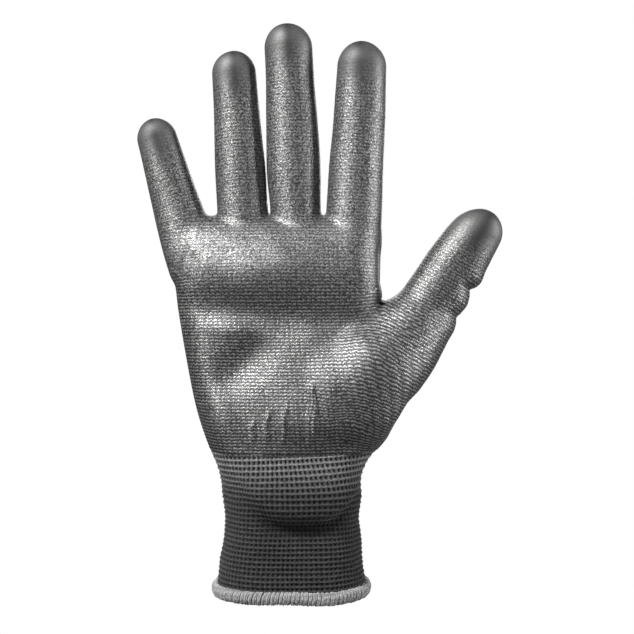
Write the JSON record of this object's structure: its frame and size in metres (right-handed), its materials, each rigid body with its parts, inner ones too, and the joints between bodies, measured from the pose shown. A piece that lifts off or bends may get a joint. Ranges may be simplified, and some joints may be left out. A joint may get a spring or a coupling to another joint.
{
  "type": "cut resistant glove",
  "caption": "Right-hand cut-resistant work glove: knitted liner with elastic cuff and overlocked hem, and a polyurethane film over the palm and finger fronts.",
  "frame": {"origin": "the centre of the cuff's mouth, at the hem's lowest edge", "axes": "+Z from the cuff to the fingertips, the palm faces -Y, the thumb points to +X"},
  "size_m": [0.1507, 0.049, 0.2421],
  "materials": {
    "knit": "dark grey plain knit of cut-resistant yarn",
    "cuff_knit": "charcoal knit with elastic rows",
    "film": "semi-gloss foamed polyurethane, fine grain",
    "hem": "light grey overlock thread",
    "elastic": "covered elastic yarn"
  },
  "bodies": {
    "cuff": {"cuff_band": "cuff_knit", "hem_binding": "hem", "band_elastic": "elastic"},
    "hand": {"wrist_fold": "cuff_knit", "cuff_throat": "cuff_knit", "palm_knit": "knit", "palm_film": "film"},
    "index_base": {"index_base_knit": "knit", "index_base_film": "film", "index_knuckle_fold": "knit"},
    "index_mid": {"index_mid_knit": "knit", "index_mid_film": "film", "index_mid_fold": "knit"},
    "index_tip": {"index_tip_knit": "knit", "index_tip_film": "film", "index_tip_fold": "knit"},
    "middle_base": {"middle_base_knit": "knit", "middle_base_film": "film", "middle_knuckle_fold": "knit"},
    "middle_mid": {"middle_mid_knit": "knit", "middle_mid_film": "film", "middle_mid_fold": "knit"},
    "middle_tip": {"middle_tip_knit": "knit", "middle_tip_film": "film", "middle_tip_fold": "knit"},
    "ring_base": {"ring_base_knit": "knit", "ring_base_film": "film", "ring_knuckle_fold": "knit"},
    "ring_mid": {"ring_mid_knit": "knit", "ring_mid_film": "film", "ring_mid_fold": "knit"},
    "ring_tip": {"ring_tip_knit": "knit", "ring_tip_film": "film", "ring_tip_fold": "knit"},
    "little_base": {"little_base_knit": "knit", "little_base_film": "film", "little_knuckle_fold": "knit"},
    "little_mid": {"little_mid_knit": "knit", "little_mid_film": "film", "little_mid_fold": "knit"},
    "little_tip": {"little_tip_knit": "knit", "little_tip_film": "film", "little_tip_fold": "knit"},
    "thumb_base": {"thumb_base_knit": "knit", "thumb_base_film": "film", "thumb_knuckle_fold": "knit"},
    "thumb_tip": {"thumb_tip_knit": "knit", "thumb_tip_film": "film", "thumb_tip_fold": "knit"}
  },
  "joints": [
    {"name": "wrist", "type": "hinge", "parent": "cuff", "child": "hand", "pos_m": [0, 0, 0.041], "axis": [1, 0, 0], "range_deg": [-40, 50], "deforming": ["wrist_fold"]},
    {"name": "index_knuckle", "type": "hinge", "parent": "hand", "child": "index_base", "pos_m": [0.02606, -0.0015, 0.17099], "axis": [0.999, 0, -0.0453], "range_deg": [-15, 75], "deforming": ["index_knuckle_fold"]},
    {"name": "index_mid", "type": "hinge", "parent": "index_base", "child": "index_mid", "pos_m": [0.02701, -0.0015, 0.19197], "axis": [0.999, 0, -0.0453], "range_deg": [0, 84], "deforming": ["index_mid_fold"]},
    {"name": "index_tip", "type": "hinge", "parent": "index_mid", "child": "index_tip", "pos_m": [0.02796, -0.0015, 0.21295], "axis": [0.999, 0, -0.0453], "range_deg": [0, 42], "deforming": ["index_tip_fold"]},
    {"name": "middle_knuckle", "type": "hinge", "parent": "hand", "child": "middle_base", "pos_m": [0.00109, -0.0015, 0.17099], "axis": [0.9992, 0, 0.0394], "range_deg": [-15, 75], "deforming": ["middle_knuckle_fold"]},
    {"name": "middle_mid", "type": "hinge", "parent": "middle_base", "child": "middle_mid", "pos_m": [0.00014, -0.0015, 0.19498], "axis": [0.9992, 0, 0.0394], "range_deg": [0, 84], "deforming": ["middle_mid_fold"]},
    {"name": "middle_tip", "type": "hinge", "parent": "middle_mid", "child": "middle_tip", "pos_m": [-0.00077, -0.0015, 0.21796], "axis": [0.9992, 0, 0.0394], "range_deg": [0, 42], "deforming": ["middle_tip_fold"]},
    {"name": "ring_knuckle", "type": "hinge", "parent": "hand", "child": "ring_base", "pos_m": [-0.02111, -0.0015, 0.16748], "axis": [0.998, 0, 0.0639], "range_deg": [-15, 75], "deforming": ["ring_knuckle_fold"]},
    {"name": "ring_mid", "type": "hinge", "parent": "ring_base", "child": "ring_mid", "pos_m": [-0.02245, -0.0015, 0.18844], "axis": [0.998, 0, 0.0639], "range_deg": [0, 84], "deforming": ["ring_mid_fold"]},
    {"name": "ring_tip", "type": "hinge", "parent": "ring_mid", "child": "ring_tip", "pos_m": [-0.02379, -0.0015, 0.2094], "axis": [0.998, 0, 0.0639], "range_deg": [0, 42], "deforming": ["ring_tip_fold"]},
    {"name": "little_knuckle", "type": "hinge", "parent": "hand", "child": "little_base", "pos_m": [-0.04635, -0.0015, 0.15928], "axis": [0.9684, 0, 0.2495], "range_deg": [-15, 75], "deforming": ["little_knuckle_fold"]},
    {"name": "little_mid", "type": "hinge", "parent": "little_base", "child": "little_mid", "pos_m": [-0.05071, -0.0015, 0.17622], "axis": [0.9684, 0, 0.2495], "range_deg": [0, 84], "deforming": ["little_mid_fold"]},
    {"name": "little_tip", "type": "hinge", "parent": "little_mid", "child": "little_tip", "pos_m": [-0.05421, -0.0015, 0.18978], "axis": [0.9684, 0, 0.2495], "range_deg": [0, 42], "deforming": ["little_tip_fold"]},
    {"name": "thumb_knuckle", "type": "hinge", "parent": "hand", "child": "thumb_base", "pos_m": [0.05574, -0.00132, 0.12211], "axis": [0.7423, -0.4695, -0.4781], "range_deg": [-10, 40], "deforming": ["thumb_knuckle_fold"]},
    {"name": "thumb_tip", "type": "hinge", "parent": "thumb_base", "child": "thumb_tip", "pos_m": [0.06711, -0.00132, 0.13976], "axis": [0.7423, -0.4695, -0.4781], "range_deg": [-10, 50], "deforming": ["thumb_tip_fold"]}
  ],
  "couplings": [
    {"joint": "index_tip", "follows": "index_mid", "ratio": 0.5},
    {"joint": "middle_tip", "follows": "middle_mid", "ratio": 0.5},
    {"joint": "ring_tip", "follows": "ring_mid", "ratio": 0.5},
    {"joint": "little_tip", "follows": "little_mid", "ratio": 0.5}
  ]
}
